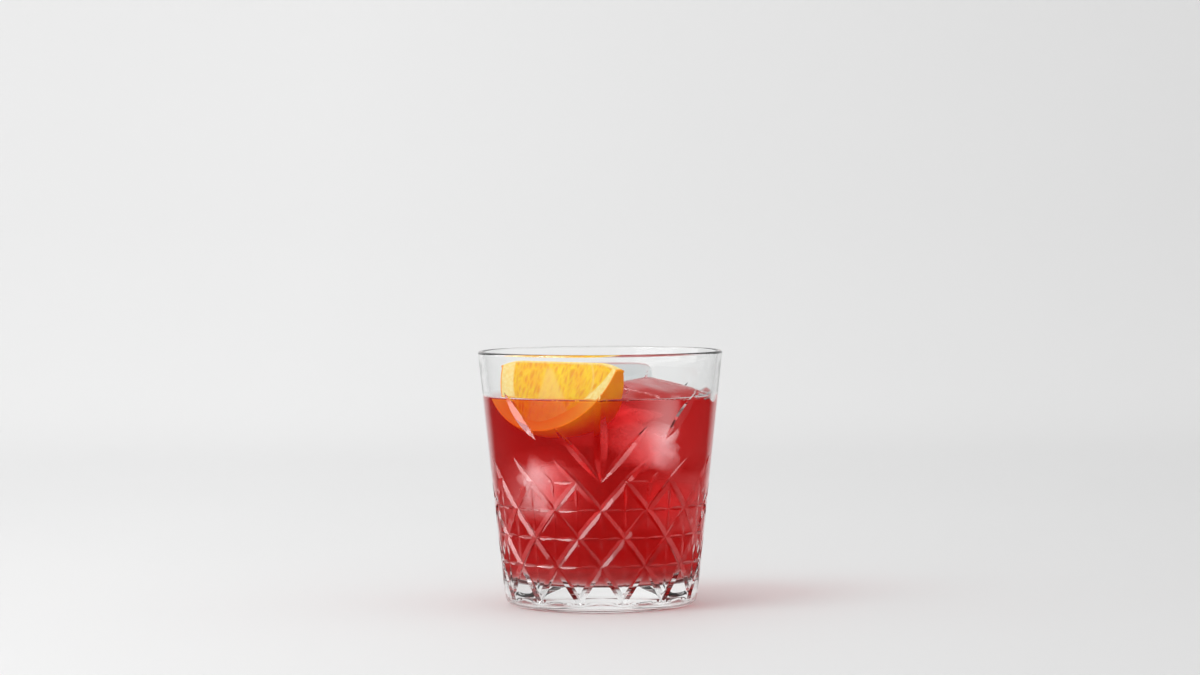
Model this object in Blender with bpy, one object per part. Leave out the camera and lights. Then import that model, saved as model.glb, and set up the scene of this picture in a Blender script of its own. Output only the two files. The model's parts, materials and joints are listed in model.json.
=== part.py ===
"""A negroni in a cut rocks glass: the glass, the drink, two ice cubes and an orange wedge.

Metres, +Z up. The glass stands on z = 0 with its axis on the Z axis, and -Y is its front.
"""
import math

import bmesh
import bpy
from mathutils import Matrix, Vector

# Glass: a cone with a thick clear base
GLASS_HEIGHT = 0.0915
RIM_RADIUS = 0.0440
FOOT_RADIUS = 0.0343
FOOT_ROUNDING = 0.0034
RIM_WALL = 0.0018
FLOOR_WALL = 0.0036
FLOOR_HEIGHT = 0.0094
FLOOR_ROUNDING = 0.0060

# Cut pattern: a lattice of diagonal grooves below, a fan of leaf cuts in front and behind
COLUMNS = 14
ROW_SPACING = 0.0100
TOP_ROW_HEIGHT = 0.0467
LOW_TIP_HEIGHT = 0.0044
LATTICE_WIDTH = 0.0026
GROOVE_STEEPNESS = 0.58
# Each leaf: start angle, start height, end angle, end height, width, where it is widest
LEAVES = (
    (0.0, TOP_ROW_HEIGHT, 0.0, 0.0783, 0.0050, 0.42),
    (0.0, TOP_ROW_HEIGHT, 24.2, 0.0669, 0.0030, 0.45),
    (12.86, TOP_ROW_HEIGHT, 24.9, 0.0550, 0.0028, 0.10),
    (38.57, TOP_ROW_HEIGHT, 50.3, 0.0548, 0.0028, 0.10),
    (64.29, TOP_ROW_HEIGHT, 76.0, 0.0546, 0.0028, 0.10),
    (33.8, 0.0614, 53.0, 0.0778, 0.0044, 0.50),
)

# Mesh steps of the glass
STEPS_PER_HALF_COLUMN = 4
STEPS_PER_ROW = 4
FAN_STEPS = 8
FAN_STEP = 0.0025
UPPER_STEPS = 5
UPPER_STEP = 0.0032
ARC_STEPS = 3
DRINK_SIDES = 56

# Drink
LIQUID_LEVEL = 0.0754
GAP = 0.0003

# Orange wedge: an eighth of a small orange, core edge up
WEDGE_MIDDLE = Vector((-0.0135, -0.0190, 0.0882))
WEDGE_TURN = math.radians(-42.0)
WEDGE_HALF_LENGTH = 0.0278
WEDGE_DEPTH = 0.0280
WEDGE_CORE = 0.0018
WEDGE_END = 0.0006
WEDGE_ROUNDED_LENGTH = 0.0100
WEDGE_ROUNDED_DROP = 0.0027
WEDGE_FRONT_TILT = math.radians(25.0)
WEDGE_BACK_TILT = math.radians(-20.0)
WEDGE_STATIONS = 20
WEDGE_FACE_STEPS = 4
WEDGE_PEEL_STEPS = 6

# Ice: middle, size, turn about X, Y and Z in degrees
ICE_FRONT = (Vector((0.0188, -0.0130, 0.0658)), Vector((0.0262, 0.0250, 0.0290)), (3.0, 10.0, -34.0))
ICE_BACK = (Vector((0.0040, 0.0190, 0.0720)), Vector((0.0280, 0.0260, 0.0290)), (-3.0, 2.0, 9.0))
ICE_STEPS = 6
ICE_SQUARENESS = 7.0

# Edges sharper than these stay crisp
SMOOTH_ANGLE = math.radians(30.0)
FINE_SMOOTH_ANGLE = math.radians(12.0)


def remove_everything():
    for item in list(bpy.data.objects):
        bpy.data.objects.remove(item, do_unlink=True)


def make_material(name, colour, roughness, metallic=0.0, alpha=1.0):
    material = bpy.data.materials.new(name)
    material.use_nodes = True
    shader = material.node_tree.nodes["Principled BSDF"]
    shader.inputs["Base Color"].default_value = (*colour, 1.0)
    shader.inputs["Roughness"].default_value = roughness
    shader.inputs["Metallic"].default_value = metallic
    shader.inputs["Alpha"].default_value = alpha
    return material


def object_from_bmesh(name, shape, material, smooth_angle):
    """Closes a bmesh into a named object whose faces point out."""
    bmesh.ops.recalc_face_normals(shape, faces=shape.faces)
    mesh = bpy.data.meshes.new(name)
    shape.to_mesh(mesh)
    shape.free()
    mesh.materials.append(material)
    mesh.shade_smooth()
    mesh.set_sharp_from_angle(angle=smooth_angle)
    item = bpy.data.objects.new(name, mesh)
    bpy.context.collection.objects.link(item)
    return item


def outer_cone(height):
    return FOOT_RADIUS + (RIM_RADIUS - FOOT_RADIUS) * height / GLASS_HEIGHT


def wall_thickness(height):
    share = (height - FLOOR_HEIGHT) / (GLASS_HEIGHT - FLOOR_HEIGHT)
    return FLOOR_WALL + (RIM_WALL - FLOOR_WALL) * share


def inner_cone(height):
    return outer_cone(height) - wall_thickness(height)


def lattice_lines():
    """Diagonals of one quarter of the glass, from 0 to 90 degrees, as leaf tuples."""
    half_pitch = 180.0 / COLUMNS
    rows = [LOW_TIP_HEIGHT] + [TOP_ROW_HEIGHT - ROW_SPACING * step for step in (3, 2, 1, 0)]
    rows_start_odd = (True, False, True, False)
    lines = []
    for low, high, odd_below in zip(rows, rows[1:], rows_start_odd):
        for cell in range(COLUMNS // 2):
            rises = (cell % 2 == 1) == odd_below
            start, end = (cell, cell + 1) if rises else (cell + 1, cell)
            lines.append((start * half_pitch, low, end * half_pitch, high, LATTICE_WIDTH, None))
    return lines


CUTS = lattice_lines() + list(LEAVES)


def cut_width(share, width, widest):
    """Width of a cut along its length: even in the lattice, pointed at both ends of a leaf."""
    if widest is None:
        return width
    reach = (share - widest) / (1.0 - widest if share > widest else widest)
    return width * (1.0 - reach * reach)


def groove_depth(angle, height):
    """Depth of the cuts below the cone at an angle from the front and a height."""
    folded = abs((angle + 180.0) % 360.0 - 180.0)
    folded = min(folded, 180.0 - folded)
    deepest = 0.0
    for start_angle, start_height, end_angle, end_height, width, widest in CUTS:
        radius = outer_cone(0.5 * (start_height + end_height))
        along = Vector((math.radians(end_angle - start_angle) * radius, end_height - start_height))
        point = Vector((math.radians(folded - start_angle) * radius, height - start_height))
        share = min(max(point.dot(along) / along.length_squared, 0.0), 1.0)
        distance = (point - along * share).length
        half_width = 0.5 * cut_width(share, width, widest)
        deepest = max(deepest, (half_width - distance) * GROOVE_STEEPNESS)
    return deepest


def outer_rows():
    """Heights of the outer wall's mesh rows, from the foot's flat to just under the lip."""
    heights = []
    for step in range(ARC_STEPS + 1):
        heights.append(FOOT_ROUNDING * (1.0 - math.cos(math.radians(90.0) * step / ARC_STEPS)))
    rows = [LOW_TIP_HEIGHT] + [TOP_ROW_HEIGHT - ROW_SPACING * step for step in (3, 2, 1, 0)]
    for low, high in zip(rows, rows[1:]):
        heights += [low + (high - low) * step / STEPS_PER_ROW for step in range(STEPS_PER_ROW)]
    heights += [TOP_ROW_HEIGHT + FAN_STEP * step for step in range(FAN_STEPS)]
    fan_top = TOP_ROW_HEIGHT + FAN_STEP * FAN_STEPS
    heights += [fan_top + UPPER_STEP * step for step in range(UPPER_STEPS + 1)]
    return heights


def foot_setback(height):
    """How far the rounded foot lies inside the cone."""
    if height >= FOOT_ROUNDING:
        return 0.0
    drop = 1.0 - height / FOOT_ROUNDING
    return FOOT_ROUNDING * (1.0 - math.sqrt(max(1.0 - drop * drop, 0.0)))


def lip_points():
    """Radius and height along the half round lip, from outside to inside."""
    lip_radius = 0.5 * RIM_WALL
    middle = RIM_RADIUS - lip_radius
    points = []
    for step in range(2 * ARC_STEPS + 1):
        angle = math.radians(180.0) * step / (2 * ARC_STEPS)
        height = GLASS_HEIGHT - lip_radius + lip_radius * math.sin(angle)
        points.append((middle + lip_radius * math.cos(angle), height))
    return points


def inner_points(inset):
    """Radius and height down the inner wall and round onto the floor, set in by the inset."""
    floor = FLOOR_HEIGHT + inset
    rounding = FLOOR_ROUNDING - inset
    points = []
    for step in range(ARC_STEPS + 2):
        angle = math.radians(90.0) * step / (ARC_STEPS + 1)
        height = floor + rounding * (1.0 - math.sin(angle))
        radius = inner_cone(height) - inset - rounding * (1.0 - math.cos(angle))
        points.append((radius, height))
    return points


def ring_point(radius, angle, height):
    """Angle 0 is at the front, -Y, and turns towards +X."""
    turned = math.radians(angle)
    return Vector((radius * math.sin(turned), -radius * math.cos(turned), height))


def bridge_rows(shape, lower, upper, falls_at=None):
    """Triangles between two rings. falls_at says which squares are split the other way."""
    count = len(lower)
    for index in range(count):
        following = (index + 1) % count
        corners = (lower[index], lower[following], upper[following], upper[index])
        if falls_at is not None and falls_at(index):
            shape.faces.new((corners[0], corners[1], corners[3]))
            shape.faces.new((corners[1], corners[2], corners[3]))
        else:
            shape.faces.new((corners[0], corners[1], corners[2]))
            shape.faces.new((corners[0], corners[2], corners[3]))


def make_glass(material):
    """The outer wall with its cuts, the lip, the inner wall and floor, and the flat foot."""
    sides = COLUMNS * 2 * STEPS_PER_HALF_COLUMN
    step_angle = 360.0 / sides
    heights = outer_rows()
    shape = bmesh.new()
    rings = []
    depths = []
    for height in heights:
        row_depths = [0.0] * sides
        if height >= FOOT_ROUNDING:
            row_depths = [groove_depth(step_angle * index, height) for index in range(sides)]
        radius = outer_cone(height) - foot_setback(height)
        ring = [shape.verts.new(ring_point(radius - depth, step_angle * index, height))
                for index, depth in enumerate(row_depths)]
        rings.append(ring)
        depths.append(row_depths)
    for row in range(len(heights) - 1):
        middle_height = 0.5 * (heights[row] + heights[row + 1])

        def groove_falls(index, row=row, middle_height=middle_height):
            """Whether the cut that crosses a square runs down towards the next column."""
            following = (index + 1) % sides
            middle = groove_depth(step_angle * (index + 0.5), middle_height)
            rising = 0.5 * (depths[row][index] + depths[row + 1][following])
            falling = 0.5 * (depths[row][following] + depths[row + 1][index])
            return abs(falling - middle) < abs(rising - middle)

        bridge_rows(shape, rings[row], rings[row + 1], groove_falls)
    previous = rings[-1]
    for radius, height in lip_points() + inner_points(0.0):
        ring = [shape.verts.new(ring_point(radius, step_angle * index, height))
                for index in range(sides)]
        bridge_rows(shape, previous, ring)
        previous = ring
    shape.faces.new(previous)
    shape.faces.new(list(reversed(rings[0])))
    bmesh.ops.triangulate(shape, faces=[face for face in shape.faces if len(face.verts) > 3])
    return object_from_bmesh("glass", shape, material, FINE_SMOOTH_ANGLE)


def core_depth(along):
    """How deep the wedge's top edge lies: its two ends are rounded down."""
    past = abs(along) - (WEDGE_HALF_LENGTH - WEDGE_ROUNDED_LENGTH)
    share = max(past, 0.0) / WEDGE_ROUNDED_LENGTH
    return WEDGE_CORE + WEDGE_ROUNDED_DROP * share * share


def wedge_shape(grow):
    """The wedge, built with X along its core edge and Z up, and grown on every side."""
    half_length = WEDGE_HALF_LENGTH + grow
    front = -WEDGE_FRONT_TILT
    back = -WEDGE_BACK_TILT
    shape = bmesh.new()
    rings = []
    for station in range(WEDGE_STATIONS + 1):
        turn = math.radians(180.0) * station / WEDGE_STATIONS
        along = -half_length * math.cos(turn)
        start = core_depth(along)
        reach = max((WEDGE_DEPTH + grow) * math.sin(turn), start + WEDGE_END + grow)
        profile = []
        for step in range(WEDGE_FACE_STEPS + 1):
            distance = start + (reach - start) * step / WEDGE_FACE_STEPS
            profile.append((front, distance, -grow))
        for step in range(1, WEDGE_PEEL_STEPS):
            profile.append((front + (back - front) * step / WEDGE_PEEL_STEPS, reach, 0.0))
        for step in range(WEDGE_FACE_STEPS + 1):
            distance = reach + (start - reach) * step / WEDGE_FACE_STEPS
            profile.append((back, distance, grow))
        ring = []
        for angle, distance, sideways in profile:
            across = math.sin(angle) * distance + math.cos(angle) * sideways
            down = math.cos(angle) * distance - math.sin(angle) * sideways
            if distance == start:
                down -= grow
            ring.append(shape.verts.new((along, across, WEDGE_CORE - down)))
        rings.append(ring)
    for first, second in zip(rings, rings[1:]):
        bridge_rows(shape, first, second)
    shape.faces.new(list(reversed(rings[0])))
    shape.faces.new(rings[-1])
    place = Matrix.Translation(WEDGE_MIDDLE) @ Matrix.Rotation(WEDGE_TURN, 4, "Z")
    shape.transform(place)
    return shape


def ice_shape(ice, grow):
    """A cube with softly rounded edges, grown on every side."""
    middle, size, turns = ice
    shape = bmesh.new()
    bmesh.ops.create_cube(shape, size=2.0)
    bmesh.ops.subdivide_edges(shape, edges=shape.edges, cuts=ICE_STEPS - 1, use_grid_fill=True)
    for vert in shape.verts:
        spread = [math.sin(0.5 * math.pi * value) for value in vert.co]
        length = sum(abs(value) ** ICE_SQUARENESS for value in spread) ** (1.0 / ICE_SQUARENESS)
        vert.co = Vector([value / length for value in spread])
        for axis in range(3):
            vert.co[axis] *= 0.5 * size[axis] + grow
    bmesh.ops.triangulate(shape, faces=shape.faces)
    place = Matrix.Translation(middle)
    for axis, turn in zip("ZYX", reversed(turns)):
        place = place @ Matrix.Rotation(math.radians(turn), 4, axis)
    shape.transform(place)
    return shape


def make_cutter(name, shape, material):
    """A hidden shape that only cuts the drink."""
    cutter = object_from_bmesh(name, shape, material, SMOOTH_ANGLE)
    cutter.hide_render = True
    cutter.display_type = "WIRE"
    return cutter


def make_drink(material, cutters):
    """The drink up to its level, a gap clear of the glass, cut round what stands in it."""
    shape = bmesh.new()
    profile = [(inner_cone(LIQUID_LEVEL) - GAP, LIQUID_LEVEL)] + inner_points(GAP)
    previous = None
    first = None
    for radius, height in profile:
        ring = [shape.verts.new(ring_point(radius, 360.0 * index / DRINK_SIDES, height))
                for index in range(DRINK_SIDES)]
        if previous is None:
            first = ring
        else:
            bridge_rows(shape, previous, ring)
        previous = ring
    shape.faces.new(first)
    shape.faces.new(previous)
    drink = object_from_bmesh("drink", shape, material, SMOOTH_ANGLE)
    for cutter in cutters:
        cut = drink.modifiers.new("cut_" + cutter.name, "BOOLEAN")
        cut.operation = "DIFFERENCE"
        cut.solver = "EXACT"
        cut.object = cutter
    return drink


def main():
    remove_everything()
    glass_material = make_material("clear_glass", (0.86, 0.90, 0.89), 0.02, alpha=0.35)
    drink_material = make_material("red_drink", (0.48, 0.01, 0.02), 0.05)
    ice_material = make_material("ice", (0.86, 0.90, 0.92), 0.08, alpha=0.5)
    orange_material = make_material("orange", (0.95, 0.45, 0.05), 0.45)

    make_glass(glass_material)
    object_from_bmesh("orange_wedge", wedge_shape(0.0), orange_material, SMOOTH_ANGLE)
    object_from_bmesh("ice_front", ice_shape(ICE_FRONT, 0.0), ice_material, SMOOTH_ANGLE)
    object_from_bmesh("ice_back", ice_shape(ICE_BACK, 0.0), ice_material, SMOOTH_ANGLE)
    cutters = (
        make_cutter("wedge_cutter", wedge_shape(GAP), orange_material),
        make_cutter("ice_front_cutter", ice_shape(ICE_FRONT, GAP), ice_material),
        make_cutter("ice_back_cutter", ice_shape(ICE_BACK, GAP), ice_material),
    )
    make_drink(drink_material, cutters)


main()
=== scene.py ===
"""Looks of a negroni in a cut rocks glass, with ice and an orange wedge.

Metres, +Z up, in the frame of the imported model: the glass stands on z = 0 and -Y is its front.
"""
import json
import math

import bmesh
import bpy
import numpy as np
from mathutils import Matrix, Vector, geometry, noise

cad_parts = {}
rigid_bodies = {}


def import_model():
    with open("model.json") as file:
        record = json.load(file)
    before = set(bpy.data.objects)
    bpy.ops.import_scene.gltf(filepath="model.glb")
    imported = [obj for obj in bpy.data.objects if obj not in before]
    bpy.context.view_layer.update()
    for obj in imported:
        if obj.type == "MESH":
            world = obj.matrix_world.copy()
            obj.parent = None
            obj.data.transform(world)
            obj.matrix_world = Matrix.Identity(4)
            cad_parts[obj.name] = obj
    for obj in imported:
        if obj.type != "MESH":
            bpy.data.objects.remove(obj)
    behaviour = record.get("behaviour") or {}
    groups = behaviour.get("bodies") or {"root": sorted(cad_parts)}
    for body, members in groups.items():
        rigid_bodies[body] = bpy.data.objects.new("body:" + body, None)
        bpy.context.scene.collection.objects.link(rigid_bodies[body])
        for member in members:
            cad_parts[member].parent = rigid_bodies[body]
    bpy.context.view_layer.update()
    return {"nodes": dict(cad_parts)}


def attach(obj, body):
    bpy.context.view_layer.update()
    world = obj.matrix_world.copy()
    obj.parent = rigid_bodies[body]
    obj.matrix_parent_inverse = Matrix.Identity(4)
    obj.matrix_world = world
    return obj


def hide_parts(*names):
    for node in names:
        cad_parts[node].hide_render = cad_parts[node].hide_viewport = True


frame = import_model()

MM = 0.001

# Photograph: an image of 1200 by 675 pixels
IMAGE_WIDTH_PX = 1200
FOCAL_LENGTH_PX = 3477
SENSOR_WIDTH = 36.0
CAMERA_PLACE = Vector((0.0, -1.250, 0.139))
CAMERA_PITCH = math.radians(1.965)
CAMERA_ROLL = math.radians(0.3)

# Glass: a cone with a thick clear base
GLASS_HEIGHT = 0.0915
RIM_RADIUS = 0.0440
FOOT_RADIUS = 0.0343
FOOT_ROUNDING = 0.0034
RIM_WALL = 0.0018
FLOOR_WALL = 0.0036
FLOOR_HEIGHT = 0.0094
FLOOR_ROUNDING = 0.0060

# Cut pattern: a lattice of diagonal grooves below, a fan of leaf cuts in front and behind
COLUMNS = 14
ROW_SPACING = 0.0100
TOP_ROW_HEIGHT = 0.0467
LOW_TIP_HEIGHT = 0.0044
LATTICE_WIDTH = 0.0026
STAR_WIDTH = 0.0014
GROOVE_STEEPNESS = 0.58
HALF_PITCH = 180.0 / COLUMNS
# Each leaf: start angle, start height, end angle, end height, width, where it is widest
LEAVES = (
    (0.0, TOP_ROW_HEIGHT, 0.0, 0.0783, 0.0050, 0.42),
    (0.0, TOP_ROW_HEIGHT, 24.2, 0.0669, 0.0030, 0.45),
    (12.86, TOP_ROW_HEIGHT, 24.9, 0.0550, 0.0028, 0.10),
    (38.57, TOP_ROW_HEIGHT, 50.3, 0.0548, 0.0028, 0.10),
    (64.29, TOP_ROW_HEIGHT, 76.0, 0.0546, 0.0028, 0.10),
    (33.8, 0.0614, 53.0, 0.0778, 0.0044, 0.50),
    (25.7, 0.0461, 30.6, 0.0500, 0.0016, 0.40),
    (12.86, TOP_ROW_HEIGHT, 25.71, TOP_ROW_HEIGHT, STAR_WIDTH, 0.50),
    (25.71, TOP_ROW_HEIGHT, 25.71, 0.0417, STAR_WIDTH, 0.50),
)

# Mesh steps of the glass
RING_COLUMNS = 504
FAN_TOP = 0.0790
WALL_GRID = 0.0011
CREASE_STEP = 0.0007
CAP_STEPS = 8
MERGE_DISTANCE = 0.000003
ARC_STEPS = 8
PLAIN_ROWS = 6
DRY_ROWS = 5
WET_ROWS = 14
# The middle of foot and floor is a disc of this share of the radius
DISC_SHARE = 0.4
# Triangulation: points nearer than this are one, in millimetres
TRIANGULATION_MERGE = 0.01
# Plain points keep this share of the grid's step away from creases
CREASE_CLEARANCE = 0.4
# Creases this many degrees past the edges of the quarter still lie on them
EDGE_SLACK = 0.01

# Drink
LIQUID_LEVEL = 0.0752
WALL_REACH = 0.00015
DRINK_SIDES = 252
DRINK_WALL_ROWS = 12
DRINK_SURFACE_RADII = (0.036, 0.030, 0.022, 0.012)
MENISCUS_CLIMB = 0.0009
MENISCUS_WIDTH = 0.0016
MENISCUS_POWER = 2.6
MENISCUS_SHARES = (0.0, 0.06, 0.14, 0.25, 0.4, 0.6, 0.8, 1.0)
WET_HEIGHT = LIQUID_LEVEL + 0.7 * MENISCUS_CLIMB
# How strongly the dry inner wall mirrors, next to the outer wall
DRY_WALL_GLOSS = 0.25
# The open surface faces up at least this much
SURFACE_UPWARD = 0.3
# Where the drink is drawn up at the wall: angle, height, width in degrees
SWELLS = ((-2.0, 0.0013, 3.0), (76.0, 0.0016, 7.0))

# Orange wedge: an eighth of a small orange, core edge up
WEDGE_MIDDLE = Vector((-0.0135, -0.0190, 0.0882))
WEDGE_TURN = math.radians(-42.0)
WEDGE_HALF_LENGTH = 0.0278
WEDGE_DEPTH = 0.0280
WEDGE_CORE = 0.0018
WEDGE_END = 0.0006
WEDGE_ROUNDED_LENGTH = 0.0100
WEDGE_ROUNDED_DROP = 0.0027
WEDGE_FRONT_TILT = math.radians(25.0)
WEDGE_BACK_TILT = math.radians(-20.0)
# Mesh steps: along, down a cut face, round the peel
WEDGE_STEPS = (260, 76, 30)
WEDGE_CUTTER_STEPS = (60, 12, 12)
FLESH_LEFT_LENGTH = 0.0216
FLESH_RIGHT_LENGTH = 0.0265
FLESH_RIGHT_POWER = 1.5
FLESH_DEPTH = 0.0244
PITH_BLEND = (-0.0002, 0.0003)
CORE_STRIP = (0.0003, 0.0011)
PEEL_BLEND = (0.975, 0.99)
# The skin between two segments: how far along, how bulged down to what depth, how thick and strong
SKIN_PLACE = 0.0132
SKIN_BULGE = 0.0052
SKIN_DEPTH = 0.0225
SKIN_HALF_THICKNESS = 0.00045
SKIN_STRENGTH = 0.75
# The milky sheen, partly pale membrane and partly a highlight painted into the flesh colour: where it
# blends in on the left, at its slanting right edge and at the top
SHEEN_LEFT = (-0.0062, -0.0046)
SHEEN_RIGHT = (-0.0050, -0.0030)
SHEEN_RIGHT_SLOPE = 0.92
SHEEN_RIGHT_START = 0.0036
SHEEN_TOP = (0.0034, 0.0060)
SHEEN_STRENGTH = 0.62
# Juice sacs: size, lean, wander, relief
VESICLE_LENGTH = 0.0040
VESICLE_WIDTH = 0.0014
VESICLE_LEAN = 0.25
VESICLE_WANDER = 0.8
VESICLE_WANDER_SIZE = 0.6
VESICLE_RIM = 0.6
VESICLE_RELIEF = 0.00022
VESICLE_BASE_RELIEF = 0.35
# How far above the drink its colour has soaked into the pith
SOAK = 0.0006

# Ice: middle, size, turn about X, Y and Z in degrees
ICE_FRONT = (Vector((0.0188, -0.0130, 0.0658)), Vector((0.0262, 0.0250, 0.0290)), (3.0, 10.0, -34.0))
ICE_BACK = (Vector((0.0040, 0.0190, 0.0720)), Vector((0.0280, 0.0260, 0.0290)), (-3.0, 2.0, 9.0))
SUNK_ICE = {
    "sunk_ice_left": (Vector((-0.0172, -0.0134, 0.0457)), Vector((0.0240, 0.0220, 0.0240)),
                      (8.0, -9.0, 38.0)),
    "sunk_ice_back": (Vector((-0.0115, 0.0172, 0.0405)), Vector((0.0220, 0.0210, 0.0220)),
                      (5.0, 6.0, 52.0)),
    "sunk_ice_right": (Vector((0.0160, 0.0120, 0.0385)), Vector((0.0225, 0.0225, 0.0225)),
                       (-6.0, 9.0, 40.0)),
}
# Cloudy heart of each cube: middle and half size
HEARTS = {
    "clear_ice_front": (Vector((0.0158, -0.0182, 0.0577)), Vector((0.0128, 0.0078, 0.0086))),
    "clear_ice_back": (Vector((0.0040, 0.0190, 0.0680)), Vector((0.0080, 0.0070, 0.0050))),
    "sunk_ice_left": (Vector((-0.0170, -0.0150, 0.0448)), Vector((0.0096, 0.0062, 0.0092))),
    "sunk_ice_back": (Vector((-0.0115, 0.0160, 0.0410)), Vector((0.0055, 0.0050, 0.0050))),
    "sunk_ice_right": (Vector((0.0160, 0.0115, 0.0385)), Vector((0.0065, 0.0065, 0.0065))),
}
FROST_SHELLS = 8
FROST_DETAIL = 4
# Lumps of the haze: how strong, how many round it, and a shift that makes each heart differ
FROST_LUMPS = 0.9
FROST_LUMP_RATE = 1.3
FROST_LUMP_SHIFT = 400.0
ICE_STEPS = 22
ICE_SQUARENESS = 7.0
ICE_OVERLAP = 0.00012
ICE_WEAR = 0.00025
ICE_WEAR_SIZE = 0.007

# Froth: bubbles crowded at the right, and small beads spread along the front edge of the drink
FROTH_SEED = 7
FROTH_BUBBLES = 26
FROTH_BEADS = 20
FROTH_ANGLE = 70.0
FROTH_SPREAD = 5.0
BEAD_REACH = 75.0
# Sizes and heights of bubbles and beads, and how far bubbles lie from the wall, in millimetres
BUBBLE_SIZES = (1.0, 2.4)
BUBBLE_HEIGHTS = (0.4, 2.6)
BUBBLE_INSETS = (0.0, 1.5)
BEAD_SIZES = (0.3, 0.7)
BEAD_HEIGHT = 0.3
# Their middles lie at least this many of their radii from the wall
BUBBLE_CLEARANCE = 1.1

# Light. Each lamp: name, degrees from the left to the front, elevation, distance, width, height,
# radiance, and whether it is only mirrored
LIGHT_AIM = Vector((0.0, 0.0, 0.05))
LAMPS = (
    ("key", 37.0, 45.0, 1.3, 0.6, 0.6, 5.5, False),
    ("wide_card", 26.0, 24.0, 1.2, 1.2, 0.50, 4.2, True),
    ("fill_card", 22.0, 26.0, 1.3, 3.0, 1.10, 2.4, True),
    ("spark", 30.0, 34.0, 1.2, 0.16, 0.16, 30.0, True),
)
ROOM_LIGHT = 0.95
# How much is darkened: by the cosine from straight back, and by the sine of the elevation
FLAG_STOPS = ((-1.0, 0.82), (0.0, 0.96), (0.70, 0.96), (0.86, 0.0))
CEILING_STOPS = ((0.10, 0.0), (0.25, 0.80))
# The flags darken nothing nearer to the foot than the first distance, and in full beyond the second
FLAG_NEAR = 0.06
FLAG_FAR = 0.10
# A ray that entered or left clear stuff more often than this has crossed the whole drink
FAR_WALL_DEPTH = 3.5

# Stage: a floor that sweeps up into a backdrop
SWEEP_FRONT = -2.2
SWEEP_BACK = 1.6
SWEEP_RADIUS = 0.8
SWEEP_TOP = 3.0
SWEEP_HALF_WIDTH = 4.0
SWEEP_DROP = 0.0002
SWEEP_STEPS = 24
STAGE_MOTTLE = ((0.3, (0.99,) * 3), (0.7, (1.0,) * 3))
# Painted shading of its tone, standing in for how the light falls: darker to the right, towards the front
# and a little up the backdrop. Axis, from where to where, and from how bright to how bright
STAGE_PAINTED_SHADING = (("X", -0.20, 0.45, 0.997, 0.885), ("Y", -0.20, 0.95, 0.730, 0.875),
               ("Y", 1.0, 1.25, 1.0, 0.966))

# Clear materials: tint, tint of lamp light, refraction, roughness, size and depth of the waves
NO_TINT = (1.0, 1.0, 1.0)
GLASS_LOOK = ((0.997, 1.0, 0.998), (0.91, 0.93, 0.93), 1.52, 0.0, 0.012, 0.00001)
ICE_LOOK = ((0.99, 0.995, 1.0), NO_TINT, 1.31, 0.03, 0.0026, 0.00030)
DRINK_LOOK = (NO_TINT, NO_TINT, 1.35, 0.0, 0.010, 0.00001)
DRINK_RED = (0.905, 0.085, 0.09)
DRINK_DENSITY = 106.0

# Haze in the ice
FROST_WHITE = (0.95, 0.97, 1.0)
# Colour of the translucent layer added on top of the white: a painted glow, so that the haze gives back
# more light than falls on it
FROST_GLOW = (0.34, 0.32, 0.31)
FROST_ROUGHNESS = 0.6
FROST_STREAKS = 110.0
FROST_STOPS = ((0.25, (0.03,) * 3), (0.75, (0.23,) * 3))

# Orange: colours, and the scales of its grain
SAC_STOPS = ((0.0, (0.75, 0.30, 0.001)), (0.5, (0.78, 0.37, 0.002)), (1.0, (0.85, 0.54, 0.006)))
# Pale colour of the skins between segments, which also paints the sheen, a highlight on the cut flesh
MEMBRANE_AND_SHEEN_COLOUR = (0.84, 0.55, 0.12)
PITH_STOPS = ((0.3, (0.84, 0.57, 0.14)), (0.7, (0.92, 0.75, 0.33)))
SOAKED_PITH = (0.84, 0.37, 0.03)
PEEL_STOPS = ((0.3, (0.91, 0.23, 0.001)), (0.7, (0.98, 0.36, 0.002)))
ORANGE_GLOSS_STOPS = ((0.0, (0.28,) * 3), (1.0, (0.6,) * 3))
ORANGE_VARIATION = 0.35
FINE_GRAIN = 900.0
BROAD_GRAIN = 140.0
PEEL_PORES = 1100.0
GRAIN_DEPTH = 0.00012

# Edges sharper than these stay crisp
CUT_ANGLE = math.radians(13.0)
SMOOTH_ANGLE = math.radians(40.0)


def new_material(name):
    material = bpy.data.materials.new(name)
    material.use_nodes = True
    nodes = material.node_tree.nodes
    return material, nodes, material.node_tree.links, nodes["Principled BSDF"]


def set_inputs(node, **values):
    """Sets plain sockets by their names, with spaces as underscores."""
    for key, value in values.items():
        node.inputs[key.replace("_", " ")].default_value = value
    return node


def add_node(nodes, kind, **values):
    return set_inputs(nodes.new(kind), **values)


def local_node(nodes, links, kind, **values):
    """A node that reads the object's own coordinates."""
    node = add_node(nodes, kind, **values)
    links.new(nodes.new("ShaderNodeTexCoord").outputs["Object"], node.inputs["Vector"])
    return node


def add_ramp(nodes, links, source, stops):
    ramp = nodes.new("ShaderNodeValToRGB")
    elements = ramp.color_ramp.elements
    while len(elements) < len(stops):
        elements.new(0.5)
    for element, (position, colour) in zip(elements, stops):
        element.position = position
        element.color = (*colour, 1.0)
    links.new(source, ramp.inputs["Fac"])
    return ramp.outputs["Color"]


def mix_colours(nodes, links, factor, first, second, blend="MIX"):
    """Mixes two colours, each a socket or plain values, by a socket or a number."""
    mix = nodes.new("ShaderNodeMix")
    mix.data_type = "RGBA"
    mix.blend_type = blend
    for socket, value in ((mix.inputs[0], factor), (mix.inputs[6], first), (mix.inputs[7], second)):
        if isinstance(value, bpy.types.NodeSocket):
            links.new(value, socket)
        elif isinstance(value, tuple):
            socket.default_value = (*value, 1.0)
        else:
            socket.default_value = value
    return mix.outputs[2]


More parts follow.
